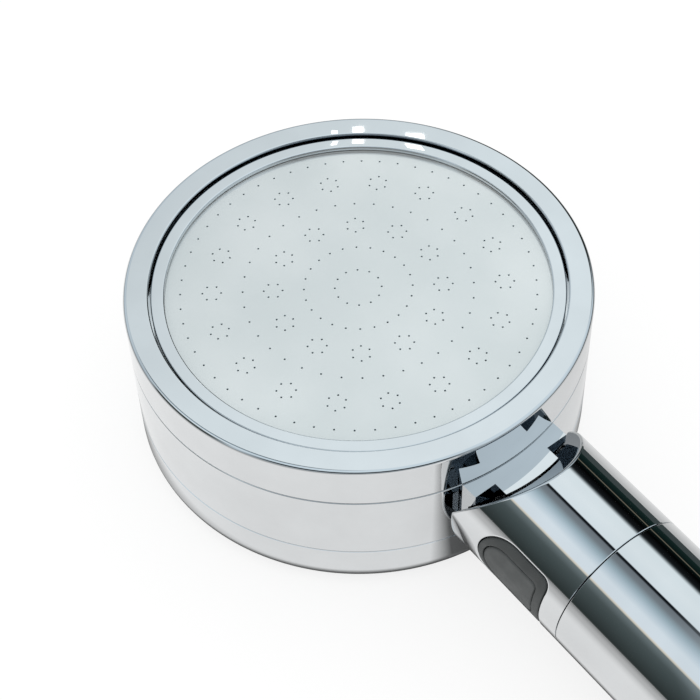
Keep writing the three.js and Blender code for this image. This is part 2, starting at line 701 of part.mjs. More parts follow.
function addInlet() {
  const stemR = GRIP_TAIL_BORE_R - 0.2;
  const rootR = THREAD_R - THREAD_DEPTH;
  const profile = [
    [INLET_BORE_R, INLET.start],
    [stemR, INLET.start],
    ...grooveProfile(stemR, 1.2, INLET.seal, 1.6),
    [stemR, GRIP_END + GAP],
    [GRIP_END_R - 0.9, GRIP_END + GAP],
    [GRIP_END_R - 0.9, THREAD_START - 0.9],
    [rootR, THREAD_START],
    [rootR, THREAD_START + 1],
    [INLET_BORE_R, THREAD_START + 1],
  ];
  const threadFoot = THREAD_START - 0.5;
  const rod = threadedRod(THREAD_R, THREAD_DEPTH, THREAD_PITCH, threadFoot, CONNECTOR_END);
  const boreProfile = rodProfile(INLET_BORE_R, INLET.start - 1, CONNECTOR_END + 1);
  const bore = solid(turnedAlongX(boreProfile, SMALL_SEGMENTS));
  const connector = solid(rod).add(solid(turnedAlongX(profile, SMALL_SEGMENTS))).subtract(bore);
  add("hose_connector", geometryOf(connector), "chrome", handle);

  addHandleSeal("connector_o_ring", stemR - 0.6, 0.55, INLET.seal);

  const orifices = orificeRing(5, 3.4, 1, INLET.restrictor);
  const disc = boreDisc(INLET.restrictor, 2);
  add("flow_restrictor", geometryOf(cut(disc, ...orifices)), "whitePlastic", handle);

  const meshHoles = [
    ...orificeRing(4, 1.8, 0.7, INLET.strainer),
    ...orificeRing(8, 4.2, 0.7, INLET.strainer),
  ];
  const screen = boreDisc(INLET.strainer, 0.8);
  add("inlet_strainer", geometryOf(cut(screen, ...meshHoles)), "springSteel", handle);
}

// A disc that fits the inlet's bore.
function boreDisc(x, thickness) {
  return turnedAlongX(rodProfile(INLET_BORE_R - 0.2, x, x + thickness), SMALL_SEGMENTS);
}

// Holes along X, in a ring round the handle's axis.
function orificeRing(count, ringR, holeR, x) {
  return Array.from({ length: count }, (_, k) => {
    const angle = (2 * Math.PI * k) / count;
    const hole = new THREE.CylinderGeometry(holeR, holeR, 6, 6).rotateZ(Math.PI / 2);
    return hole.translate(x, ringR * Math.cos(angle), ringR * Math.sin(angle));
  });
}

addCap();
addDistribution();
addHeadBody();
addUpperHandle();
addNeckScrews();
addButton();
addValveBody();
addSpool();
addLatchCam();
addSpring();
addValveSeals();
addCoupler();
addGrip();
addFilter();
addInlet();

export default root;
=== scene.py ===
# Handheld shower head: the visual model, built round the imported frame. Metres, +Z up, row frame.
# Lengths named in millimetres are turned into metres where a mesh is made.

import json
import math

import bmesh
import bpy
from mathutils import Matrix, Vector
from mathutils.geometry import delaunay_2d_cdt


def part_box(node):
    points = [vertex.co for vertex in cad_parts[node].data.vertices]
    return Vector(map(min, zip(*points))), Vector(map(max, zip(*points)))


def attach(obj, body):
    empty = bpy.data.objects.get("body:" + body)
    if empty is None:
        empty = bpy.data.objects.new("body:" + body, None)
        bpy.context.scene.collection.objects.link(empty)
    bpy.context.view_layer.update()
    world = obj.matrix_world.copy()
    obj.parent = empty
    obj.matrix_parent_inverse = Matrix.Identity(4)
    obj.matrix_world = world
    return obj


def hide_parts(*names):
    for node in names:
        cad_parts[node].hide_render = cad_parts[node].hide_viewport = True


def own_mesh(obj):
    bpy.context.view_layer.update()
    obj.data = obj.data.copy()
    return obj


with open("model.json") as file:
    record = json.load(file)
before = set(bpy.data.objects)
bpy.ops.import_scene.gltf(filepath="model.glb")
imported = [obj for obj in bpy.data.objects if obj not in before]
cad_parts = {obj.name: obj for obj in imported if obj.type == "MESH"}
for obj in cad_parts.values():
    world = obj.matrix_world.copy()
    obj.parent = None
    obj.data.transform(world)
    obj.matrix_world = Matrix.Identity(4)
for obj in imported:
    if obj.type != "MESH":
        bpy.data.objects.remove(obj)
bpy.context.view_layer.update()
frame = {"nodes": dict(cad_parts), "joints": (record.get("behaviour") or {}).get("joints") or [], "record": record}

MM = 0.001
TAU = 2 * math.pi

# ---------------------------------------------------------------------------------------------
# Camera
# ---------------------------------------------------------------------------------------------

CAMERA_PLACE = (0.180257, -0.136414, 0.292371)
CAMERA_RIGHT = (0.621163, 0.783249, -0.026023)
CAMERA_UP = (-0.596824, 0.494316, 0.632023)
CAMERA_FORWARD = (-0.507895, 0.377058, -0.774513)
CAMERA_LENS = 91.92


def add_camera():
    data = bpy.data.cameras.new("camera")
    data.sensor_width = 36
    data.lens = CAMERA_LENS
    data.clip_start = 0.01
    camera = bpy.data.objects.new("camera", data)
    bpy.context.scene.collection.objects.link(camera)
    columns = (CAMERA_RIGHT, CAMERA_UP, -Vector(CAMERA_FORWARD))
    turn = Matrix([Vector(c) for c in columns]).transposed().to_4x4()
    camera.matrix_world = Matrix.Translation(CAMERA_PLACE) @ turn
    bpy.context.scene.camera = camera


add_camera()

# ---------------------------------------------------------------------------------------------
# Frames: the head's axis is Z. The handle's axis comes from the grip's joint in the record.
# ---------------------------------------------------------------------------------------------

joints = {j["name"]: j for j in frame["joints"]}
HANDLE_AXIS = Vector(joints["grip_turn"]["axis"]).normalized()
SEAM_X = 73.3  # where the grip's joint sits along the handle's axis
HANDLE_ORIGIN = Vector(joints["grip_turn"]["pos_m"]) - HANDLE_AXIS * SEAM_X * MM
SIDE = Vector((0, 1, 0))
HANDLE_UP = SIDE.cross(-HANDLE_AXIS).normalized()
BUTTON_X = 60.4


def frame_of(origin, x, y, z):
    turn = Matrix([x, y, z]).transposed().to_4x4()
    return Matrix.Translation(origin) @ turn


HEAD = Matrix.Identity(4)
HANDLE = frame_of(HANDLE_ORIGIN, SIDE, HANDLE_UP, HANDLE_AXIS)
VALVE = frame_of(HANDLE_ORIGIN + HANDLE_AXIS * BUTTON_X * MM, HANDLE_UP, HANDLE_AXIS, SIDE)

# Head, in millimetres from its axis and its back.
head_low, head_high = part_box("face_ring")
HEAD_R = head_high[0] / MM
HEAD_DEPTH = head_high[2] / MM
CAP_BOTTOM = head_low[2] / MM - 0.06
DRUM_TOP = 26.82
PLATE_TOP = 34.5

# Handle, in millimetres from its axis.
HANDLE_R = 14.7
BORE_R = 12.3

# ---------------------------------------------------------------------------------------------
# Materials
# ---------------------------------------------------------------------------------------------


def new_material(name, **sockets):
    material = bpy.data.materials.new(name)
    material.use_nodes = True
    shader = material.node_tree.nodes["Principled BSDF"]
    for socket, value in sockets.items():
        shader.inputs[socket.replace("_", " ")].default_value = value
    return material, material.node_tree, shader


def noise(tree, scale, detail=3, stretch=(1, 1, 1), distortion=0.0):
    """A noise in the piece's own metres: scale is in waves per metre."""
    place = tree.nodes.new("ShaderNodeTexCoord")
    mapping = tree.nodes.new("ShaderNodeMapping")
    mapping.inputs["Scale"].default_value = stretch
    texture = tree.nodes.new("ShaderNodeTexNoise")
    texture.inputs["Scale"].default_value = scale
    texture.inputs["Detail"].default_value = detail
    texture.inputs["Distortion"].default_value = distortion
    tree.links.new(place.outputs["Object"], mapping.inputs["Vector"])
    tree.links.new(mapping.outputs["Vector"], texture.inputs["Vector"])
    return texture.outputs["Fac"]


def remap(tree, value, low, high, start=0.35, end=0.65):
    node = tree.nodes.new("ShaderNodeMapRange")
    node.inputs["From Min"].default_value = start
    node.inputs["From Max"].default_value = end
    node.inputs["To Min"].default_value = low
    node.inputs["To Max"].default_value = high
    tree.links.new(value, node.inputs["Value"])
    return node.outputs["Result"]


def math_node(tree, operation, *values):
    node = tree.nodes.new("ShaderNodeMath")
    node.operation = operation
    for socket, value in zip(node.inputs, values):
        if isinstance(value, (int, float)):
            socket.default_value = value
        else:
            tree.links.new(value, socket)
    return node.outputs[0]


def vary_roughness(tree, shader, low, high, scale, **how):
    value = remap(tree, noise(tree, scale, **how), low, high)
    tree.links.new(value, shader.inputs["Roughness"])


def vary_color(tree, shader, dark, light, scale, **how):
    mix = tree.nodes.new("ShaderNodeMix")
    mix.data_type = "RGBA"
    mix.inputs["A"].default_value = (*dark, 1)
    mix.inputs["B"].default_value = (*light, 1)
    tree.links.new(remap(tree, noise(tree, scale, **how), 0, 1), mix.inputs["Factor"])
    tree.links.new(mix.outputs["Result"], shader.inputs["Base Color"])


def add_bump(tree, shader, heights):
    """heights is a list of (value, depth in metres). They are stacked one on another."""
    last = None
    for value, depth in heights:
        bump = tree.nodes.new("ShaderNodeBump")
        bump.inputs["Distance"].default_value = depth
        tree.links.new(value, bump.inputs["Height"])
        if last:
            tree.links.new(last, bump.inputs["Normal"])
        last = bump.outputs["Normal"]
    tree.links.new(last, shader.inputs["Normal"])


def chrome(name, tint=(0.71, 0.725, 0.735), wave=1.2e-6):
    """Bright plating: a faint orange peel, a haze of handling marks and dried water, hair scratches."""
    material, tree, shader = new_material(name, Metallic=1)
    dull = tuple(0.94 * c for c in tint)
    vary_color(tree, shader, dull, tint, 70, detail=4)
    vary_roughness(tree, shader, 0.008, 0.03, 110, detail=5, distortion=0.6)
    peel = noise(tree, 160, detail=1)
    hair = noise(tree, 900, detail=2, stretch=(0.05, 1, 1))
    add_bump(tree, shader, [(peel, wave), (hair, 1.5e-7)])
    return material


def satin_steel(name):
    """Rolled stainless sheet: a soft mirror with a fine directional grain that scatters part of the light."""
    material, tree, shader = new_material(name, Metallic=0.66)
    vary_color(tree, shader, (0.67, 0.697, 0.692), (0.735, 0.753, 0.746), 40, detail=4)
    vary_roughness(tree, shader, 0.15, 0.21, 60, detail=4)
    grain = noise(tree, 2600, detail=2, stretch=(0.04, 1, 1))
    add_bump(tree, shader, [(grain, 1.2e-6)])
    return material


def bare_steel(name):
    material, tree, shader = new_material(name, Metallic=1)
    vary_color(tree, shader, (0.4, 0.4, 0.4), (0.58, 0.58, 0.57), 300)
    vary_roughness(tree, shader, 0.2, 0.4, 500)
    add_bump(tree, shader, [(noise(tree, 2200, stretch=(0.1, 1, 1)), 3e-6)])
    return material


def hole_steel(name):
    """The punched wall of a spray hole, dulled by scale."""
    material, tree, shader = new_material(name, Metallic=0.2)
    vary_color(tree, shader, (0.33, 0.40, 0.43), (0.46, 0.53, 0.56), 2400)
    vary_roughness(tree, shader, 0.35, 0.6, 1800)
    add_bump(tree, shader, [(noise(tree, 5000), 4e-6)])
    return material


def moulded(name, dark, light, roughness, texture, grain=1400):
    """Moulded plastic or rubber: a fine spark-eroded texture, slightly uneven in colour and gloss."""
    material, tree, shader = new_material(name)
    vary_color(tree, shader, dark, light, 120, detail=4)
    vary_roughness(tree, shader, roughness[0], roughness[1], 400)
    add_bump(tree, shader, [(noise(tree, grain, detail=4), texture), (noise(tree, 90), 1e-5)])
    return material


def wound_fibre(name):
    """Wound sediment yarn: crossing bands round the sleeve over a fuzzy ground."""
    material, tree, shader = new_material(name)
    vary_color(tree, shader, (0.74, 0.71, 0.64), (0.88, 0.86, 0.81), 220, detail=5)
    vary_roughness(tree, shader, 0.85, 1.0, 300)
    place = tree.nodes.new("ShaderNodeTexCoord")
    wave = tree.nodes.new("ShaderNodeTexWave")
    wave.inputs["Scale"].default_value = 90
    wave.inputs["Distortion"].default_value = 1.5
    tree.links.new(place.outputs["Object"], wave.inputs["Vector"])
    add_bump(tree, shader, [(wave.outputs["Fac"], 3e-4), (noise(tree, 2500, detail=5), 8e-5)])
    return material


CHROME = chrome("chrome_plated")
# Painted shade: a dark chrome for faces deep in hollows, in place of their dark reflections.
PAINTED_SHADE_CHROME = chrome("painted_shade_chrome", tint=(0.2, 0.23, 0.26), wave=4e-6)
CHROME_BRASS = chrome("chrome_brass", tint=(0.71, 0.72, 0.72), wave=6e-7)
STAINLESS = satin_steel("stainless_sheet")
HOLE_STEEL = hole_steel("hole_wall")
STEEL = bare_steel("bare_steel")
CHARCOAL = moulded("charcoal_plastic", (0.045, 0.05, 0.05), (0.056, 0.062, 0.062), (0.5, 0.6), 6e-6)
SOFT_PAD = moulded("soft_grey", (0.072, 0.078, 0.078), (0.086, 0.092, 0.092), (0.55, 0.68), 1.2e-5, 900)
RUBBER = moulded("seal_rubber", (0.012, 0.012, 0.013), (0.024, 0.024, 0.025), (0.55, 0.8), 8e-6)
WHITE = moulded("white_plastic", (0.74, 0.745, 0.73), (0.82, 0.82, 0.81), (0.35, 0.5), 4e-6)
FIBRE = wound_fibre("wound_fibre")

SLOT_MATERIALS = {
    "chrome_plated": CHROME,
    "chrome_brass": CHROME_BRASS,
    "stainless": STAINLESS,
    "steel": STEEL,
    "charcoal_plastic": CHARCOAL,
    "soft_pad": SOFT_PAD,
    "seal_rubber": RUBBER,
    "white_plastic": WHITE,
    "filter_medium": FIBRE,
}
record = frame["record"]
SLOT_OF = {part["node"]: part["material_slot"] for part in record["subparts"]}
BODY_OF = {node: body for body, nodes in record["behaviour"]["bodies"].items() for node in nodes}

# ---------------------------------------------------------------------------------------------
# Mesh helpers
# ---------------------------------------------------------------------------------------------


SHARP = 38


def face_out(mesh):
    """Turns a closed mesh's faces outwards."""
    work = bmesh.new()
    work.from_mesh(mesh)
    bmesh.ops.recalc_face_normals(work, faces=work.faces)
    work.to_mesh(mesh)
    work.free()


def smooth(mesh, sharp=SHARP):
    """Smooth faces, with an edge kept wherever they bend by more than sharp degrees."""
    mesh.polygons.foreach_set("use_smooth", [True] * len(mesh.polygons))
    mesh.set_sharp_from_angle(angle=math.radians(sharp))


def weigh_normals(piece):
    weights = piece.modifiers.new("weights", "WEIGHTED_NORMAL")
    weights.keep_sharp = True


def make(name, points, faces, place, sharp=SHARP, weighted=True):
    """A smooth mesh object from points in millimetres in a local frame."""
    mesh = bpy.data.meshes.new(name)
    mesh.from_pydata([place @ (Vector(p) * MM) for p in points], [], faces)
    mesh.validate()
    face_out(mesh)
    smooth(mesh, sharp)
    piece = bpy.data.objects.new(name, mesh)
    bpy.context.scene.collection.objects.link(piece)
    if weighted:
        weigh_normals(piece)
    return piece


def stand_for(piece, node, replace=True):
    """Gives the piece the material of its node's slot and its node's body. With replace, it also hides the node.
    """
    piece.data.materials.append(SLOT_MATERIALS[SLOT_OF[node]])
    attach(piece, BODY_OF[node])
    if replace:
        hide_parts(node)
    return piece


def painted_shade_chrome(piece, place, inside_r, low, high):
    """Painted shade: a dark chrome that stands in for the dark reflections and shade inside a radius, between two
    heights.
    """
    piece.data.materials.append(PAINTED_SHADE_CHROME)
    back = place.inverted()
    for polygon in piece.data.polygons:
        centre = (back @ polygon.center) / MM
        if low < centre.z < high and math.hypot(centre.x, centre.y) < inside_r:
            polygon.material_index = 1


def revolve(name, rows, place, segments=256, loop=True, **how):
    """Rows go round the local Z. A row is (radius, height), or a function of the angle that gives them."""
    points = []
    faces = []
    rings = []
    for row in rows:
        if not callable(row) and row[0] < 1e-9:
            rings.append([len(points)] * segments)
            points.append((0, 0, row[1]))
            continue
        ring = []
        for k in range(segments):
            angle = TAU * k / segments
            radius, height = row(angle) if callable(row) else row
            ring.append(len(points))
            points.append((radius * math.cos(angle), radius * math.sin(angle), height))
        rings.append(ring)
    pairs = list(zip(rings, rings[1:]))
    if loop:
        pairs.append((rings[-1], rings[0]))
    for a, b in pairs:
        for k in range(segments):
            m = (k + 1) % segments
            corners = [a[k], a[m], b[m], b[k]]
            face = [c for i, c in enumerate(corners) if c != corners[i - 1]]
            if len(face) > 2:
                faces.append(face)
    return make(name, points, faces, place, **how)


def eased(profile, radius=0.2, steps=4, loop=True):
    """The profile with its corners rounded. Points run so that the solid is on the left of the path."""
    out = []
    count = len(profile)
    for i, point in enumerate(profile):
        here = Vector(point)
        ends = not loop and i in (0, count - 1)
        before = Vector(profile[i - 1]) - here
        after = Vector(profile[(i + 1) % count]) - here
        if ends or here.x < 1e-9 or before.length < 1e-6 or after.length < 1e-6:
            out.append(tuple(here))
            continue
        bend = math.pi - before.angle(after)
        if bend < math.radians(15):
            out.append(tuple(here))
            continue
        reach = min(radius, 0.45 * before.length, 0.45 * after.length)
        start = here + before.normalized() * reach
        end = here + after.normalized() * reach
        for k in range(steps + 1):
            t = k / steps
            out.append(tuple((1 - t) ** 2 * start + 2 * t * (1 - t) * here + t * t * end))
    return out


def arc(centre_r, centre_h, radius, a, b, steps=8):
    angles = [math.radians(a + (b - a) * k / steps) for k in range(steps + 1)]
    return [(centre_r + radius * math.cos(t), centre_h + radius * math.sin(t)) for t in angles]


def torus_profile(radius, height, section, steps=20):
    return arc(radius, height, section, 0, 360 * (steps - 1) / steps, steps - 1)


def boolean(piece, cutter, operation="DIFFERENCE"):
    """Applies an exact boolean and removes the cutter."""
    cut = piece.modifiers.new("cut", "BOOLEAN")
    cut.operation = operation
    cut.solver = "EXACT"
    cut.object = cutter
    graph = bpy.context.evaluated_depsgraph_get()
    result = bpy.data.meshes.new_from_object(piece.evaluated_get(graph))
    piece.modifiers.remove(cut)
    piece.data = result
    bpy.data.objects.remove(cutter)
    return piece


def plain(name, points, faces, place):
    return make(name, points, faces, place, weighted=False)


def rod(name, radius, start, end, place, segments=256):
    rows = [(0, start), (radius, start), (radius, end), (0, end)]
    return revolve(name, rows, place, segments, loop=False, weighted=False)


def block(name, x0, x1, y0, y1, z0, z1):
    points = [(x, y, z) for x in (x0, x1) for y in (y0, y1) for z in (z0, z1)]
    faces = [(0, 1, 3, 2), (4, 6, 7, 5), (0, 4, 5, 1), (2, 3, 7, 6), (0, 2, 6, 4), (1, 5, 7, 3)]
    return plain(name, points, faces, HEAD)


# ---------------------------------------------------------------------------------------------
# Cap: bezel, retaining ring and spray plate
# ---------------------------------------------------------------------------------------------

SEAT_GAP = 0.15  # between pieces that rest on each other
RIM_FILLET = 0.8
BEZEL_R = 40.15
BEZEL_FILLET = 0.3
# The gap is real. The bezel's wall inside it carries painted shade, which darkens the line.
RING_GAP = 0.38  # the dark line between bezel and ring
RING_R = 37.15
RING_TOP = HEAD_DEPTH - 0.85
CAP_BORE_R = 43.2
FLANGE_R = 37.4
FLANGE_TOP = 33
FLANGE_BOTTOM = 31.9


def add_cap():
    skirt = [(CAP_BORE_R, CAP_BOTTOM + 4), (CAP_BORE_R, CAP_BOTTOM), (HEAD_R, CAP_BOTTOM), (HEAD_R, 30)]
    cap = [
        *eased(skirt, 0.25, loop=False),
        *arc(HEAD_R - RIM_FILLET, HEAD_DEPTH - RIM_FILLET, RIM_FILLET, 0, 90, 10),
        (BEZEL_R + BEZEL_FILLET + 0.05, HEAD_DEPTH),
        *arc(BEZEL_R + BEZEL_FILLET, HEAD_DEPTH - BEZEL_FILLET, BEZEL_FILLET, 90, 180, 6),
        (BEZEL_R, FLANGE_TOP),
        (FLANGE_R, FLANGE_TOP),
        (FLANGE_R, FLANGE_BOTTOM),
        (CAP_BORE_R, FLANGE_BOTTOM),
    ]
    shell = stand_for(revolve("cap_shell", cap, HEAD, 320), "face_ring")
    # Painted shade on the bezel's inner wall, down in the groove by the ring.
    painted_shade_chrome(shell, HEAD, BEZEL_R + 0.05, FLANGE_TOP, RING_TOP + 0.1)
    outer, foot = BEZEL_R - RING_GAP, PLATE_TOP + SEAT_GAP
    ring = [(RING_R, foot), (outer, foot), (outer, RING_TOP), (RING_R, RING_TOP)]
    stand_for(revolve("retaining_ring", eased(ring, 0.3, 5), HEAD, 320), "plate_retaining_ring")
    gasket = [(37.6, 33.2), (39.6, 33.2), (39.6, 33.8), (37.6, 33.8)]
    stand_for(revolve("gasket", eased(gasket, 0.15), HEAD, 192), "plate_gasket")
    stand_for(revolve("cap_seal_ring", torus_profile(41.05, 30.85, 0.9), HEAD, 192), "cap_o_ring")


# The spray holes: plain rings of single holes, and two rings of six-hole rosettes.
PATTERN_TURN = math.radians(53.4)
HOLE_R = 0.17
SINGLE_RINGS = [(12, 4.5), (24, 10.44), (36, 22.19), (58, 34.2)]
ROSETTE_RINGS = [(12, 16.34), (18, 28.13)]
ROSETTE_R = 1.8
PLATE_R = 39.8
PLATE_THICKNESS = 0.5
PLATE_SIDES = 256
HOLE_SIDES = 14
HOLE_LIP = 0.05  # width and depth of the dished lip


def polar(radius, angle):
    return Vector((radius * math.cos(angle), radius * math.sin(angle)))


def hole_places():
    places = []
    for count, radius in SINGLE_RINGS:
        places += [polar(radius, PATTERN_TURN + TAU * k / count) for k in range(count)]
    for count, radius in ROSETTE_RINGS:
        for k in range(count):
            angle = PATTERN_TURN + TAU * k / count
            centre = polar(radius, angle)
            places += [centre + polar(ROSETTE_R, angle + TAU * m / 6) for m in range(6)]
    return places


def ring_of_points(centre, radius, sides):
    return [centre + polar(radius, TAU * k / sides) for k in range(sides)]


def number_of(point):
    return round(point.x, 5), round(point.y, 5)


def triangles_between(loops):
    """Triangles inside the first loop and outside the others, as numbers into the joined loops."""
    flat = [p for loop in loops for p in loop]
    loop_of = [number for number, loop in enumerate(loops) for _ in loop]
    edges = []
    for loop in loops:
        start = len(edges)
        edges += [(start + k, start + (k + 1) % len(loop)) for k in range(len(loop))]
    places, _, triangles, _, _, _ = delaunay_2d_cdt(flat, edges, [], 0, 1e-7)
    numbers = {number_of(p): i for i, p in enumerate(flat)}
    source = [numbers[number_of(p)] for p in places]
    kept = []
    for triangle in triangles:
        corners = [source[i] for i in triangle]
        touched = {loop_of[i] for i in corners}
        if len(touched) > 1 or touched == {0}:
            kept.append(corners)
    return kept


def add_plate():
    """A thin disc with a dished lip round each punched hole."""
    top, bottom = PLATE_TOP, PLATE_TOP - PLATE_THICKNESS
    centres = hole_places()
    loops = [ring_of_points(Vector((0, 0)), PLATE_R, PLATE_SIDES)]
    loops += [ring_of_points(c, HOLE_R + HOLE_LIP, HOLE_SIDES) for c in centres]
    flat = [p for loop in loops for p in loop]
    count = len(flat)
    points = [(p.x, p.y, top) for p in flat] + [(p.x, p.y, bottom) for p in flat]
    upper_faces = triangles_between(loops)
    faces = [tuple(f) for f in upper_faces] + [tuple(i + count for i in reversed(f)) for f in upper_faces]
    for k in range(PLATE_SIDES):
        m = (k + 1) % PLATE_SIDES
        faces.append((k, k + count, m + count, m))
    hole_walls = len(faces)
    for h, centre in enumerate(centres):
        lip = PLATE_SIDES + h * HOLE_SIDES
        rim = len(points)
        points += [(p.x, p.y, top - HOLE_LIP) for p in ring_of_points(centre, HOLE_R, HOLE_SIDES)]
        for k in range(HOLE_SIDES):
            m = (k + 1) % HOLE_SIDES
            faces.append((lip + k, lip + m, rim + m, rim + k))
            faces.append((rim + k, rim + m, count + lip + m, count + lip + k))
    piece = make("perforated_plate", points, faces, HEAD, sharp=25, weighted=False)
    stand_for(piece, "spray_plate")
    piece.data.materials.append(HOLE_STEEL)
    for polygon in piece.data.polygons:
        if polygon.index >= hole_walls:
            polygon.material_index = 1


# ---------------------------------------------------------------------------------------------
# Drum and neck
# ---------------------------------------------------------------------------------------------

TILT = math.atan2(-HANDLE_AXIS.z, HANDLE_AXIS.x)
AXIS_Z = HANDLE_ORIGIN.z / MM
RELIEF_R = 47
SLOPE_R = 39
SLOPE = math.radians(35)
SLOPE_FOOT = 51.2
SEAM_Z = 26.9
NECK_HALF = 11
TONGUE_HALF = 6.3
POCKET_X = 47.25
POCKET_FLOOR = 21
NECK_ROOT_X = 36
NECK_SHOULDER_Z = 14
NECK_GAP = 0.3  # between the neck and the handle's end face
FAR = 20  # beyond the neck and the handle's end, for cutting tools
BACK_FILLET = 5
BACK_LINE = 11.2  # a fine line round the drum's side
BACK_LINE_DEPTH = 0.18
COLLAR_R = 41.7
COLLAR_INNER_R = 39.8
COLLAR_TOP = 29.8
CAP_PITCH = 1.8


def end_face(side, up, offset=0.0):
    """Distance along the handle's axis where its end face lies, for a place across the handle."""
    c, s = math.cos(TILT), math.sin(TILT)
    upright = (math.sqrt(RELIEF_R**2 - side**2) + offset - up * s) / c
    foot = SLOPE_FOOT - SLOPE_R / math.cos(SLOPE) + offset
    reach = math.sqrt(SLOPE_R**2 - side**2)
    lift = (AXIS_Z - SEAM_Z) * math.sin(SLOPE) - up * (s * math.cos(SLOPE) - c * math.sin(SLOPE))
    sloped = (reach + foot * math.cos(SLOPE) + lift) / (c * math.cos(SLOPE) + s * math.sin(SLOPE))
    return max(upright, sloped)


def end_face_row(radius, offset=0.0, deeper=0.0):
    """A row for revolve that lies on the handle's end face."""

    def row(angle):
        return radius, end_face(radius * math.cos(angle), radius * math.sin(angle), offset) + deeper

    return row


def thread_rows(root, depth, pitch, start, end, per_pitch=14, crest=0.12):
    """Rows of a helical ridge with flattened crests that fades in and out over most of a turn."""
    count = round((end - start) / pitch * per_pitch)
    rows = []
    for k in range(count + 1):
        height = start + (end - start) * k / count
        fade = min(1, k / per_pitch, (count - k) / per_pitch)

        def row(angle, height=height, fade=fade):
            phase = (height - start) / pitch - angle / TAU
            ridge = 1 - abs(2 * (phase - math.floor(phase)) - 1)
            ridge = min(1, max(0, (ridge - crest) / (1 - 2 * crest)))
            ridge = ridge * ridge * (3 - 2 * ridge)
            return root + depth * ridge * fade, height

        rows.append(row)
    return rows


def add_drum():
    profile = [
        (0, 0),
        *arc(HEAD_R - BACK_FILLET, BACK_FILLET, BACK_FILLET, -90, 0, 16),
        (HEAD_R, BACK_LINE - 0.2),
        (HEAD_R - BACK_LINE_DEPTH, BACK_LINE - 0.13),
        (HEAD_R - BACK_LINE_DEPTH, BACK_LINE + 0.13),
        (HEAD_R, BACK_LINE + 0.2),
        (HEAD_R, DRUM_TOP - 2),
        *arc(HEAD_R - 0.2, DRUM_TOP - 0.2, 0.2, 0, 90, 4),
        (COLLAR_R, DRUM_TOP),
        (COLLAR_R, DRUM_TOP + 0.2),
        *thread_rows(COLLAR_R, 0.6, CAP_PITCH, DRUM_TOP + 0.25, COLLAR_TOP - 0.25),
        (COLLAR_R - 0.3, COLLAR_TOP),
        (COLLAR_INNER_R, COLLAR_TOP),
        (COLLAR_INNER_R, 27),  # the diffuser's ledge, and the hollow behind it
        (38.3, 27),
        (38.3, 25.5),
        (42.3, 21.7),
        *arc(38.7, 6.3, 3.6, 0, -90, 6),
        (0, 2.7),
    ]
    stand_for(revolve("drum", profile, HEAD, 320, loop=False), "head_body")


def neck_space():
    """The solid that the neck is trimmed to: everything on the drum's side of the handle's end face."""
    rows = [(r, -FAR) for r in (0, 6, 12, 18, 24)]
    rows += [end_face_row(r, -NECK_GAP) for r in range(24, 0, -2)]
    rows.append((0, end_face(0, 0, -NECK_GAP)))
    return revolve("neck_space", rows, HANDLE, 256, loop=False, weighted=False)


def add_neck():
    reach = SLOPE_FOOT + 4
    neck = rod("neck", NECK_HALF, NECK_ROOT_X, reach, HANDLE, 192)
    boolean(neck, block("above", FAR, reach + 8, -FAR, FAR, DRUM_TOP, 50))
    shoulders = block("shoulders", NECK_ROOT_X, reach, -NECK_HALF, NECK_HALF, NECK_SHOULDER_Z, DRUM_TOP)
    boolean(neck, shoulders, "UNION")
    for side in (-1, 1):
        low, high = sorted((side * TONGUE_HALF, side * (NECK_HALF + 2)))
        boolean(neck, block("pocket", POCKET_X, reach + 4, low, high, POCKET_FLOOR, 50))
    boolean(neck, neck_space(), "INTERSECT")
    smooth(neck.data, 30)
    weigh_normals(neck)
    stand_for(neck, "head_body", replace=False)


# ---------------------------------------------------------------------------------------------
# Handle
# ---------------------------------------------------------------------------------------------


def bezier(steps, *controls):
    """Points along a Bezier curve, without its end."""
    degree = len(controls) - 1
    points = []
    for k in range(steps):
        t = k / steps
        point = Vector((0, 0))
        for i, control in enumerate(controls):
            point += Vector(control) * (math.comb(degree, i) * t**i * (1 - t) ** (degree - i))
        points.append(point)
    return points


def outline(centre, length, half):
    """The button's D: round towards the head, eased corners behind. Points are (along, across)."""
    front, back = centre - length / 2, centre + length / 2
    nose, corner = half * 1.05, half * 0.28
    hip = front + nose * 0.42
    flank = half * 0.62
    return [
        *bezier(40, (front, 0), (front, flank), (hip, half), (front + nose, half)),
        *bezier(24, (front + nose, half), (back - corner, half)),
        *bezier(12, (back - corner, half), (back, half), (back, half - corner)),
        *bezier(24, (back, half - corner), (back, corner - half)),
        *bezier(12, (back, corner - half), (back, -half), (back - corner, -half)),
        *bezier(24, (back - corner, -half), (front + nose, -half)),
        *bezier(40, (front + nose, -half), (hip, -half), (front, -flank), (front, 0)),
    ]


def unrolled(points):
    """Turns (along, height across) on the handle's skin into (along, distance round the skin)."""
    return [Vector((p.x, HANDLE_R * math.asin(p.y / HANDLE_R))) for p in points]


def offset(points, distance):
    """Moves a closed outline outwards in its own plane."""
    moved = []
    count = len(points)
    for i, p in enumerate(points):
        along = (points[(i + 1) % count] - points[i - 1]).normalized()
        moved.append(p + Vector((-along.y, along.x)) * distance)
    return moved


def on_skin(point, height):
    """A point of the unrolled skin at a height over it, in the handle's frame: (side, up, along)."""
    angle = point.y / HANDLE_R
    radius = HANDLE_R + height
    return (-radius * math.cos(angle), radius * math.sin(angle), point.x)


def strip(name, loops, close=None, **how):
    """Joins loops of the same length into a skin. close fills the last loop to a point."""
    n = len(loops[0])
    points = [p for loop in loops for p in loop]
    faces = []
    for row in range(len(loops) - 1):
        for k in range(n):
            m = (k + 1) % n
            a, b = row * n, (row + 1) * n
            faces.append((a + k, b + k, b + m, a + m))
    if close:
        tip = len(points)
        points.append(close)
        last = (len(loops) - 1) * n
        faces += [(last + k, tip, last + (k + 1) % n) for k in range(n)]
    return make(name, points, faces, HANDLE, **how)


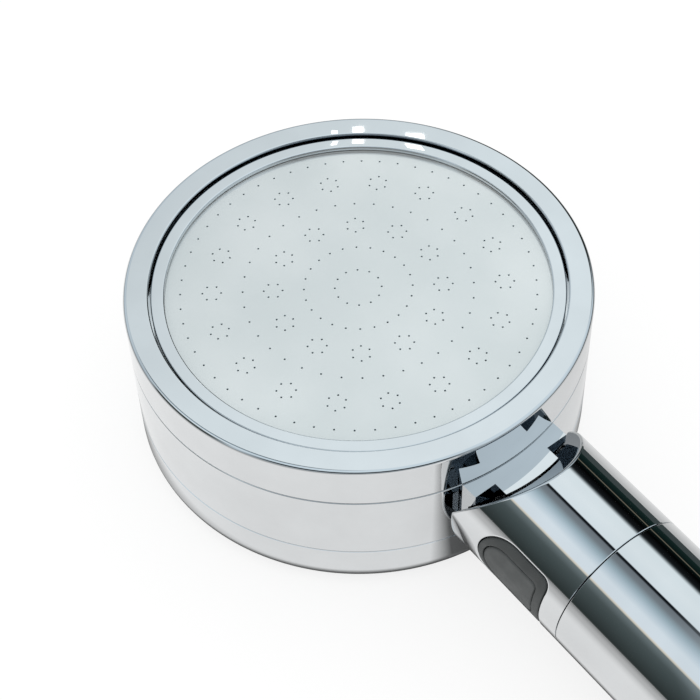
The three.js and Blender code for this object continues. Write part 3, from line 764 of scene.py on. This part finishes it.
def rounded(loop, top, ease, side):
    """Loops over a rounded edge, from its flat top to its wall. side is 1 for a hole and -1 for a piece."""
    loops = []
    for k in range(7):
        turn = math.radians(15 * k)
        ring = offset(loop, side * ease * (1 - math.sin(turn)))
        loops.append([on_skin(p, top - ease * (1 - math.cos(turn))) for p in ring])
    return loops


def sunk(loop, depth):
    """The loop moved straight into the handle."""
    return [(side + depth, up, along) for side, up, along in loop]


WINDOW = unrolled(outline(BUTTON_X, 16.4, 7.4))
LIP = 0.45
SEAM_GAP = 0.08  # half of the gap between the handle's two shells
SEAM_EASE = 0.15
END_EDGE = 0.5
END_WALL = 2.3
SPIGOT_HOLE_R = 5.7


def shell_rows():
    """The upper handle's rows: bore, seam end, skin, rounded end edge, end face and the wall behind it."""
    end = SEAM_X - SEAM_GAP
    foot = end - SEAM_EASE

    def body_row(share):
        def row(angle):
            side, up = HANDLE_R * math.cos(angle), HANDLE_R * math.sin(angle)
            start = end_face(side, up) + END_EDGE
            return HANDLE_R, start + (foot - start) * share

        return row

    def edge_row(turn):
        def row(angle):
            radius = HANDLE_R - END_EDGE * (1 - math.cos(turn))
            side, up = radius * math.cos(angle), radius * math.sin(angle)
            return radius, end_face(side, up) + END_EDGE * (1 - math.sin(turn))

        return row

    rows = [(BORE_R, end), (HANDLE_R - SEAM_EASE, end), (HANDLE_R - 0.04, end - 0.04), (HANDLE_R, foot)]
    rows += [body_row(share / 12) for share in range(11, -1, -1)]
    rows += [edge_row(math.radians(15 * k)) for k in range(1, 7)]
    rows += [end_face_row(r) for r in (14, 13, 12, 11, 10, 9, 8, 7, SPIGOT_HOLE_R)]
    rows += [end_face_row(r, deeper=END_WALL) for r in (SPIGOT_HOLE_R, 8, 10, BORE_R)]
    return rows


def window_cutter(loop):
    n = len(loop)
    points = [(side, up, along) for side in (-20, -6) for _, up, along in loop]
    faces = [tuple(range(n)), tuple(range(2 * n - 1, n - 1, -1))]
    faces += [(k, k + n, (k + 1) % n + n, (k + 1) % n) for k in range(n)]
    return plain("window_cutter", points, faces, HANDLE)


def add_upper_handle():
    shell = revolve("handle_shell", shell_rows(), HANDLE, 512, weighted=False)
    lips = rounded(WINDOW, 0, LIP, 1)
    lips += [sunk(lips[-1], depth) for depth in (0.8, 2.0)]
    boolean(shell, window_cutter(lips[0]))
    smooth(shell.data)
    set_skin_normals(shell, HANDLE_R)
    stand_for(shell, "upper_handle")
    # Painted shade on the upper handle's faces inside its skin, short of the seam: the end face, the bore and the
    # window's walls.
    painted_shade_chrome(shell, HANDLE, HANDLE_R - 0.55, 0, SEAM_X - 5)
    lip = strip("window_lip", lips, weighted=False)
    stand_for(lip, "upper_handle", replace=False)


def set_skin_normals(piece, radius):
    """Gives the corners on the cylinder's skin the cylinder's own normals."""
    back = HANDLE.inverted()
    mesh = piece.data
    across = [Vector(((back @ v.co).x, (back @ v.co).y)) / MM for v in mesh.vertices]
    turn = HANDLE.to_3x3()
    normals = [Vector(n.vector) for n in mesh.corner_normals]
    for polygon in mesh.polygons:
        places = [across[v] for v in polygon.vertices]
        if all(abs(p.length - radius) < 0.01 for p in places):
            for corner, p in zip(polygon.loop_indices, places):
                normals[corner] = turn @ Vector((p.x, p.y, 0)).normalized()
    mesh.normals_split_custom_set(normals)


FRAME_TOP = -0.05  # heights over the handle's skin
FRAME_EASE = 0.35
PAD_TOP = -0.15
PAD_EASE = 0.5
PAD_DISH = 0.3
PAD_X = BUTTON_X - 0.3


def add_button_frame():
    surround = unrolled(outline(BUTTON_X, 16.1, 7.25))
    opening = unrolled(outline(PAD_X, 13.0, 4.95))
    wall = rounded(surround, FRAME_TOP, FRAME_EASE, -1)[::-1]
    loops = [sunk(wall[0], 2.4), *wall]
    outer_top = offset(surround, -FRAME_EASE)
    inner_top = offset(opening, FRAME_EASE)
    for share in (0.25, 0.5, 0.75):
        loops.append([on_skin(a.lerp(b, share), FRAME_TOP) for a, b in zip(outer_top, inner_top)])
    loops += rounded(opening, FRAME_TOP, FRAME_EASE, 1)
    loops.append(sunk(loops[-1], 2.4))
    stand_for(strip("button_surround", loops), "button_frame")


def add_button_pad():
    pad = unrolled(outline(PAD_X, 12.7, 4.8))
    wall = rounded(pad, PAD_TOP, PAD_EASE, -1)[::-1]
    loops = [sunk(wall[0], 2.2), *wall]
    inner = offset(pad, -PAD_EASE)
    centre = Vector((BUTTON_X, 0))
    for share in (0.93, 0.85, 0.75, 0.64, 0.52, 0.4, 0.28, 0.16, 0.06):
        height = PAD_TOP - PAD_DISH * (1 - share * share)
        loops.append([on_skin(centre + (p - centre) * share, height) for p in inner])
    tip = on_skin(centre, PAD_TOP - PAD_DISH)
    stand_for(strip("button_pad", loops, close=tip), "stop_button")


GRIP_END = 183
GRIP_END_R = 12.3
GRIP_END_FILLET = 0.6
TAPER_START = 108
GRIP_SOCKET_R = 12.95
GRIP_TAIL_BORE_R = 9.8


def grip_radius(along):
    t = min(1, max(0, (along - TAPER_START) / (GRIP_END - TAPER_START)))
    return HANDLE_R + (GRIP_END_R - HANDLE_R) * t * t * (3 - 2 * t)


def add_grip():
    start = SEAM_X + SEAM_GAP
    first, last = start + SEAM_EASE, GRIP_END - GRIP_END_FILLET
    stations = [first + (last - first) * k / 40 for k in range(41)]
    skin = [(grip_radius(x), x) for x in stations]
    profile = [
        (GRIP_SOCKET_R, start),
        (HANDLE_R - SEAM_EASE, start),
        (HANDLE_R - 0.04, start + 0.04),
        *skin,
        *arc(skin[-1][0] - GRIP_END_FILLET, last, GRIP_END_FILLET, 15, 90, 6),
        (GRIP_TAIL_BORE_R, GRIP_END),
        (GRIP_TAIL_BORE_R, 168),  # the filter's chamber lies between here and the socket
        (10.8, 166.5),
        (12.1, 150),
        (12.4, 87),
        (GRIP_SOCKET_R, 86.4),
    ]
    stand_for(revolve("grip_shell", profile, HANDLE, 320), "grip")


INLET_START = 170
INLET_END = 197.3
INLET_BORE_R = 6.2
INLET_R = 9.6
INLET_SEAL = (178.6, 180.2, 8.4)  # the seal's groove: start, end and radius
INLET_FLANGE_R = 11.4
HOSE_THREAD_R = 9.53
HOSE_THREAD_DEPTH = 0.93
HOSE_THREAD_PITCH = 1.814


def add_inlet():
    seal_start, seal_end, seal_r = INLET_SEAL
    rows = [
        (INLET_BORE_R, INLET_START),
        (INLET_R, INLET_START),
        (INLET_R, seal_start),
        (seal_r, seal_start),
        (seal_r, seal_end),
        (INLET_R, seal_end),
        (INLET_R, GRIP_END + 0.15),
        (INLET_FLANGE_R - 0.15, GRIP_END + 0.15),
        (INLET_FLANGE_R - 0.03, GRIP_END + 0.2),
        (INLET_FLANGE_R, GRIP_END + 0.32),
        (INLET_FLANGE_R, GRIP_END + 1.3),
        (INLET_FLANGE_R - 0.1, GRIP_END + 1.5),
        (HOSE_THREAD_R + 0.2, 185.3),
        *thread_rows(HOSE_THREAD_R, HOSE_THREAD_DEPTH, HOSE_THREAD_PITCH, 185.5, INLET_END - 0.4),
        (HOSE_THREAD_R - 0.3, INLET_END),
        (INLET_BORE_R + 0.4, INLET_END),
        (INLET_BORE_R, INLET_END - 0.4),
    ]
    stand_for(revolve("inlet_thread", rows, HANDLE, 192), "hose_connector")


COUPLER_START = 71.35
COUPLER_END = 81
COUPLER_BORE_R = 7
COUPLER_THREAD_R = 12.15
GRIP_PITCH = 2


def add_coupler():
    profile = [
        (COUPLER_BORE_R, COUPLER_START),
        (12.2, COUPLER_START),
        (12.2, 73.45),
        (12.7, 73.45),
        (12.7, 74.1),
        (11.3, 74.1),  # the seal's groove
        (11.3, 75.5),
        (COUPLER_THREAD_R, 75.5),
        (COUPLER_THREAD_R, 75.8),
        *thread_rows(COUPLER_THREAD_R, 0.52, GRIP_PITCH, 75.85, COUPLER_END - 0.4),
        (COUPLER_THREAD_R - 0.05, COUPLER_END),
        (COUPLER_BORE_R, COUPLER_END),
    ]
    stand_for(revolve("coupler", profile, HANDLE, 192), "handle_coupler")


# O-rings on the handle's axis: node, ring radius, place along the axis, section.
HANDLE_SEALS = [
    ("neck_o_ring", 4.65, 44.5, 0.65),
    ("valve_flange_o_ring", 11.6, 70.15, 0.55),
    ("grip_o_ring", 12.15, 74.8, 0.6),
    ("filter_o_ring", 6.25, 78.2, 0.6),
    ("connector_o_ring", 9.0, 179.4, 0.55),
]
# O-rings on the stop valve's axis: node, place across the handle.
SPOOL_SEALS = [("spool_seal_outer", -5.6), ("spool_seal_inner", 0.8)]


def add_seals():
    for node, radius, along, section in HANDLE_SEALS:
        ring = revolve(node + "_smooth", torus_profile(radius, along, section), HANDLE, 128)
        stand_for(ring, node)
    for node, across in SPOOL_SEALS:
        ring = revolve(node + "_smooth", torus_profile(3.65, across, 0.6), VALVE, 96)
        stand_for(ring, node)


SPRING_START = 3.75
SPRING_END = 8.1
SPRING_R = 3.1
SPRING_TURNS = 4
WIRE_R = 0.25
WIRE_SIDES = 12


def spring_mesh():
    first = SPRING_START + WIRE_R
    last = SPRING_END - WIRE_R
    steps = SPRING_TURNS * 48
    points = []
    for k in range(steps + 1):
        angle = TAU * SPRING_TURNS * k / steps
        height = first + (last - first) * k / steps
        for side in ring_of_points(Vector((0, 0)), WIRE_R, WIRE_SIDES):
            radius = SPRING_R + side.x
            points.append((radius * math.cos(angle), radius * math.sin(angle), height + side.y))
    end = steps * WIRE_SIDES
    faces = [tuple(reversed(range(WIRE_SIDES))), tuple(range(end, end + WIRE_SIDES))]
    for k in range(steps):
        for m in range(WIRE_SIDES):
            n = (m + 1) % WIRE_SIDES
            a, b = k * WIRE_SIDES, (k + 1) * WIRE_SIDES
            faces.append((a + m, b + m, b + n, a + n))
    return points, faces


def add_spring():
    """A coil for the stop button's return spring, with a mesh of its own."""
    coil = stand_for(make("spring_coil", *spring_mesh(), VALVE), "return_spring")
    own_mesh(coil)


def finish_cad_nodes():
    for name, node in frame["nodes"].items():
        material = SLOT_MATERIALS[SLOT_OF[name]]
        if node.data.materials:
            for slot in range(len(node.data.materials)):
                node.material_slots[slot].link = "OBJECT"
                node.material_slots[slot].material = material
        else:
            node.data.materials.append(material)


# ---------------------------------------------------------------------------------------------
# Studio: even soft light and a pale floor. Only the plating sees the light tent, the flag and lamps.
# ---------------------------------------------------------------------------------------------

# The light tent in a cross-section over the handle. Each stop is the angle from straight up, in
# degrees towards +Y, and the brightness of the tent there.
TENT = [
    (-180, (0.95, 0.95, 0.95)),
    (-92, (0.48, 0.48, 0.47)),
    (-89.5, (0.032, 0.042, 0.041)),
    (-78, (0.05, 0.065, 0.066)),
    (-66, (0.07, 0.092, 0.094)),
    (-58, (0.09, 0.115, 0.118)),
    (-50, (0.17, 0.21, 0.22)),
    (-46.8, (0.20, 0.24, 0.24)),
    (-46.3, (0.92, 0.84, 0.70)),
    (-45.2, (0.92, 0.84, 0.70)),
    (-44.4, (0.90, 0.99, 1.06)),
    (-30, (0.90, 1.0, 1.07)),
    (-21, (0.66, 0.79, 0.88)),
    (-13, (0.42, 0.55, 0.62)),
    (-5, (0.24, 0.28, 0.31)),
    (2.2, (0.19, 0.22, 0.25)),
    (2.9, (0.005, 0.007, 0.01)),
    (5.7, (0.005, 0.007, 0.01)),
    (6.4, (0.92, 1.02, 1.07)),
    (25, (0.97, 1.06, 1.10)),
    (44, (0.92, 1.02, 1.06)),
    (48.5, (0.10, 0.12, 0.13)),
    (51, (0.01, 0.012, 0.014)),
    (62, (0.001, 0.001, 0.001)),
    (69.6, (0.004, 0.009, 0.009)),
    (70.2, (0.26, 0.23, 0.17)),
    (71.0, (0.004, 0.010, 0.010)),
    (82, (0.008, 0.022, 0.020)),
    (92, (0.02, 0.036, 0.034)),
    (101, (0.05, 0.065, 0.066)),
    (103, (0.55, 0.56, 0.57)),
    (180, (0.95, 0.95, 0.95)),
]
# Where the tent hangs and how bright it all is: curves over the direction's part along X.
TENT_SHARE = [(-1.0, 0.0), (-0.67, 0.0), (-0.61, 1.0), (-0.2, 1.0), (-0.03, 0.0), (1.0, 0.0)]
TENT_FADE = [(-1.0, 1.0), (-0.86, 0.95), (-0.7, 0.73), (-0.48, 1.0), (1.0, 1.0)]
# The rest is a plain soft sky, by height. Round the camera, on the +X and -Y side, it has a dark band.
SKY = [(-1.0, 0.30), (0.0, 0.30), (0.3, 0.72), (0.6, 0.95), (1.0, 0.95)]
SKY_TINT = (0.84, 0.97, 1.06)
DARK_SHARE = [(-1.0, 0.0), (-0.05, 0.0), (0.2, 0.95), (1.0, 0.95)]
DARK_FOOT = (0.22, 0.32)
DARK_TOP = (0.66, 0.74)
DARK_SIDE = (-0.05, 0.25)
UNIT = (-1, 1)


def curve(tree, value, span, stops):
    """Straight lines through stops of (place in the span, height). The span's ends need stops too."""
    low, high = span
    node = tree.nodes.new("ShaderNodeFloatCurve")
    points = node.mapping.curves[0].points
    while len(points) < len(stops):
        points.new(0.5, 0.5)
    for point, (place, height) in zip(points, stops):
        point.location = ((place - low) / (high - low), height)
        point.handle_type = "VECTOR"
    node.mapping.update()
    tree.links.new(remap(tree, value, 0, 1, low, high), node.inputs["Value"])
    return node.outputs["Value"]


def tent_color(tree, y, z):
    angle = math_node(tree, "ARCTAN2", y, z)
    ramp = tree.nodes.new("ShaderNodeValToRGB")
    stops = ramp.color_ramp.elements
    while len(stops) < len(TENT):
        stops.new(0.5)
    for stop, (degrees, brightness) in zip(stops, TENT):
        stop.position = (degrees + 180) / 360
        stop.color = (*brightness, 1)
    tree.links.new(remap(tree, angle, 0, 1, -math.pi, math.pi), ramp.inputs["Fac"])
    return ramp.outputs["Color"]


def sky_color(tree, z):
    sky = tree.nodes.new("ShaderNodeVectorMath")
    sky.operation = "SCALE"
    sky.inputs[0].default_value = SKY_TINT
    tree.links.new(curve(tree, z, UNIT, SKY), sky.inputs["Scale"])
    return sky.outputs[0]


def surround_strength(tree, x, y, z):
    band = math_node(tree, "MULTIPLY", remap(tree, z, 0, 1, *DARK_FOOT), remap(tree, z, 1, 0, *DARK_TOP))
    dark = math_node(tree, "MULTIPLY", curve(tree, x, UNIT, DARK_SHARE), band)
    beside = remap(tree, y, 1, 0, *DARK_SIDE)
    left = math_node(tree, "SUBTRACT", 1, math_node(tree, "MULTIPLY", dark, beside))
    return math_node(tree, "MULTIPLY", curve(tree, x, UNIT, TENT_FADE), left)


def add_world():
    """White light for everything, and the tent and the sky for what the plating reflects."""
    world = bpy.data.worlds.new("studio")
    world.use_nodes = True
    bpy.context.scene.world = world
    tree = world.node_tree
    tree.nodes.clear()
    place = tree.nodes.new("ShaderNodeTexCoord")
    parts = tree.nodes.new("ShaderNodeSeparateXYZ")
    tree.links.new(place.outputs["Generated"], parts.inputs[0])
    x, y, z = (parts.outputs[axis] for axis in "XYZ")
    color = tree.nodes.new("ShaderNodeMix")
    color.data_type = "RGBA"
    tree.links.new(curve(tree, x, UNIT, TENT_SHARE), color.inputs["Factor"])
    tree.links.new(sky_color(tree, z), color.inputs["A"])
    tree.links.new(tent_color(tree, y, z), color.inputs["B"])
    reflected = tree.nodes.new("ShaderNodeBackground")
    tree.links.new(color.outputs["Result"], reflected.inputs["Color"])
    tree.links.new(surround_strength(tree, x, y, z), reflected.inputs["Strength"])
    fill = tree.nodes.new("ShaderNodeBackground")
    fill.inputs["Color"].default_value = (1, 1, 1, 1)
    path = tree.nodes.new("ShaderNodeLightPath")
    mix = tree.nodes.new("ShaderNodeMixShader")
    tree.links.new(path.outputs["Is Glossy Ray"], mix.inputs["Fac"])
    tree.links.new(fill.outputs[0], mix.inputs[1])
    tree.links.new(reflected.outputs[0], mix.inputs[2])
    out = tree.nodes.new("ShaderNodeOutputWorld")
    tree.links.new(mix.outputs[0], out.inputs["Surface"])


# Painted light: how bright the floor looks in the plating, over its own share of the light: (y in metres,
# brightness).
FLOOR_GLOW = [
    (-0.80, 0.10),
    (-0.37, 0.22),
    (-0.14, 0.38),
    (-0.10, 0.57),
    (-0.07, 0.74),
    (0.00, 0.74),
    (0.04, 0.60),
    (0.08, 0.48),
    (0.12, 0.38),
    (0.40, 0.24),
    (0.80, 0.10),
]
FLOOR_GLOW_SPAN = (-0.8, 0.8)
FLOOR_GLOW_SEEN = 0.78
FLOOR_HALF = 4000
# Painted shadow: the glow is out under the head and under the handle. Each is (dark up to, bright from), in
# metres.
UNDER_HEAD = (0.0450, 0.0482)
UNDER_HANDLE = (0.012, 0.017)
HANDLE_SHADE_START = (0.040, 0.046)


def rectangle(name, corners):
    return plain(name, corners, [(0, 1, 2, 3)], HEAD)


# Painted light and painted shadow: the floor's glow in the plating, fading along Y and dark under the head and the
# handle.
def painted_floor_glow(tree):
    place = tree.nodes.new("ShaderNodeTexCoord")
    parts = tree.nodes.new("ShaderNodeSeparateXYZ")
    tree.links.new(place.outputs["Object"], parts.inputs[0])
    distance = tree.nodes.new("ShaderNodeVectorMath")
    distance.operation = "LENGTH"
    tree.links.new(place.outputs["Object"], distance.inputs[0])
    beside_head = remap(tree, distance.outputs["Value"], 0, 1, *UNDER_HEAD)
    across = math_node(tree, "ABSOLUTE", parts.outputs["Y"])
    beside_handle = remap(tree, across, 0, 1, *UNDER_HANDLE)
    before_handle = remap(tree, parts.outputs["X"], 1, 0, *HANDLE_SHADE_START)
    clear = math_node(tree, "MAXIMUM", beside_handle, before_handle)
    outside_painted_shadow = math_node(tree, "MULTIPLY", beside_head, clear)
    glow = curve(tree, parts.outputs["Y"], FLOOR_GLOW_SPAN, FLOOR_GLOW)
    return math_node(tree, "MULTIPLY", glow, outside_painted_shadow)


def add_floor():
    """White paper. Its glow is even to the camera. In the plating its glow is painted light, brightest near the
    object along Y, with a painted shadow under the object.
    """
    a = FLOOR_HALF
    floor = rectangle("floor", [(-a, -a, 0), (a, -a, 0), (a, a, 0), (-a, a, 0)])
    material, tree, shader = new_material("pale_paper")
    vary_color(tree, shader, (0.245, 0.245, 0.243), (0.255, 0.255, 0.253), 3)
    shader.inputs["Roughness"].default_value = 0.9
    shader.inputs["Specular IOR Level"].default_value = 0.1
    shader.inputs["Emission Strength"].default_value = 1
    path = tree.nodes.new("ShaderNodeLightPath")
    seen = tree.nodes.new("ShaderNodeMix")
    tree.links.new(path.outputs["Is Camera Ray"], seen.inputs["Factor"])
    tree.links.new(painted_floor_glow(tree), seen.inputs["A"])
    seen.inputs["B"].default_value = FLOOR_GLOW_SEEN
    tree.links.new(seen.outputs["Result"], shader.inputs["Emission Color"])
    floor.data.materials.append(material)


def glow_only(piece, color, strength):
    """Makes a stage piece that only reflections show."""
    material, _, shader = new_material(piece.name + "_glow", Base_Color=(0, 0, 0, 1), Roughness=1)
    shader.inputs["Emission Color"].default_value = (*color, 1)
    shader.inputs["Emission Strength"].default_value = strength
    piece.data.materials.append(material)
    piece.visible_camera = False
    piece.visible_diffuse = False
    piece.visible_shadow = False


# A low dark flag on the far side of the object.
FLAG_Y = 205
FLAG_HALF = 700
FLAG_HEIGHT = 50
FLAG_COLOR = (0.05, 0.066, 0.067)


def add_flag():
    bottom = [(-FLAG_HALF, FLAG_Y, 0), (FLAG_HALF, FLAG_Y, 0)]
    top = [(FLAG_HALF, FLAG_Y, FLAG_HEIGHT), (-FLAG_HALF, FLAG_Y, FLAG_HEIGHT)]
    glow_only(rectangle("flag_far", bottom + top), FLAG_COLOR, 1)


# Three small lamps that only the plating shows, as short streaks on the far side of the bezel.
# Each is (across, up, half width, half height) as shares of the distance, seen in a level mirror.
LAMPS = [(-0.0087, 0.118, 0.0016, 0.0062), (0.0045, 0.120, 0.0030, 0.0068), (0.0365, 0.116, 0.0048, 0.0062)]
LAMP_DISTANCE = 2.5
LAMP_COLOR = (1, 0.98, 0.95)
LAMP_STRENGTH = 3.5


def mirrored(across, up):
    """Where a ray of the camera ends after the bezel's level face mirrors it, in millimetres."""
    ray = Vector(CAMERA_FORWARD) + Vector(CAMERA_RIGHT) * across + Vector(CAMERA_UP) * up
    end = Vector(CAMERA_PLACE) + ray * LAMP_DISTANCE
    end.z = 2 * HEAD_DEPTH * MM - end.z
    return tuple(end / MM)


def add_lamp(name, across, up, half_across, half_up):
    turns = [(-1, -1), (1, -1), (1, 1), (-1, 1)]
    corners = [mirrored(across + a * half_across, up + b * half_up) for a, b in turns]
    glow_only(rectangle(name, corners), LAMP_COLOR, LAMP_STRENGTH)


def add_studio():
    add_world()
    add_floor()
    for k, lamp in enumerate(LAMPS):
        add_lamp(f"lamp_{k}", *lamp)
    add_flag()
    view = bpy.context.scene.view_settings
    view.view_transform = "Standard"
    view.look = "None"


add_cap()
add_plate()
add_drum()
add_neck()
add_upper_handle()
add_button_frame()
add_button_pad()
add_grip()
add_inlet()
add_coupler()
add_seals()
add_spring()
finish_cad_nodes()
add_studio()
